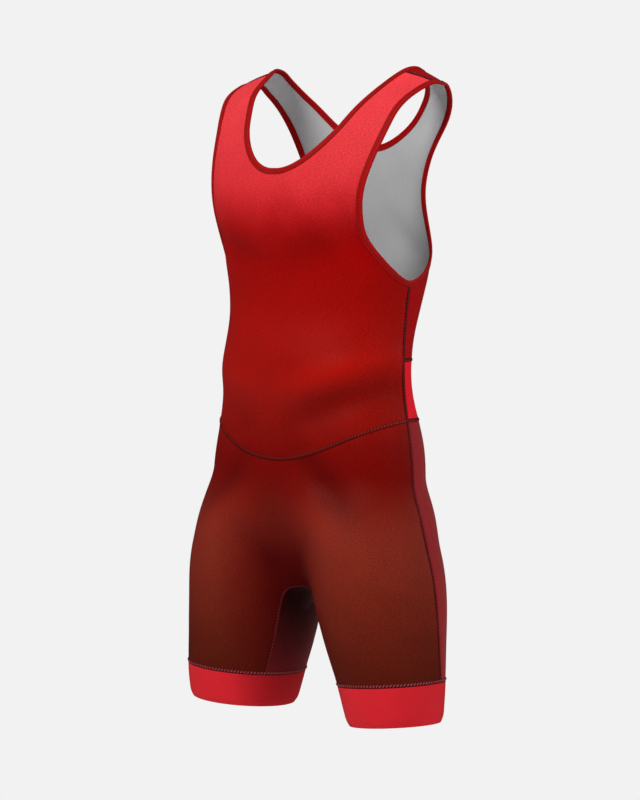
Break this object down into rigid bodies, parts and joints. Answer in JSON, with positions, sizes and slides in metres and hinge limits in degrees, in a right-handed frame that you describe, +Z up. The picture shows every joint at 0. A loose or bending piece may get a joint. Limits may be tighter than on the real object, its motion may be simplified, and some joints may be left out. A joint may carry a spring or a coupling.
{
  "type": "wrestling singlet",
  "caption": "Sleeveless one-piece stretch suit with a scooped neck, racer back, bound openings and short banded legs, filled out as worn.",
  "frame": {"origin": "between the wearer's shoulders, level with the tops of the straps and on the axis of the torso; the shoulders hold the garment up there", "axes": "+Z up, -Y the way the wearer faces, +X to the wearer's left; the garment is symmetric left to right but for the hems"},
  "size_m": [0.4068, 0.2032, 0.8271],
  "materials": {
    "front_print": "printed stretch knit, bright red at the shoulders darkening to brown red at the legs, slight sheen",
    "back_red": "stretch knit, dark red, slight sheen",
    "waist_red": "stretch knit, bright crimson, slight sheen",
    "seat_burgundy": "stretch knit, burgundy, slight sheen",
    "cuff_red": "doubled stretch knit, bright red, slight sheen",
    "binding_red": "folded stretch tape, red, stitched"
  },
  "bodies": {
    "root": {"front_upper": "front_print", "front_lower": "front_print", "back_upper": "back_red", "back_waist": "waist_red", "back_lower": "seat_burgundy", "cuff_left": "cuff_red", "cuff_right": "cuff_red", "neck_binding": "binding_red", "armhole_binding_left": "binding_red", "armhole_binding_right": "binding_red"}
  },
  "joints": []
}
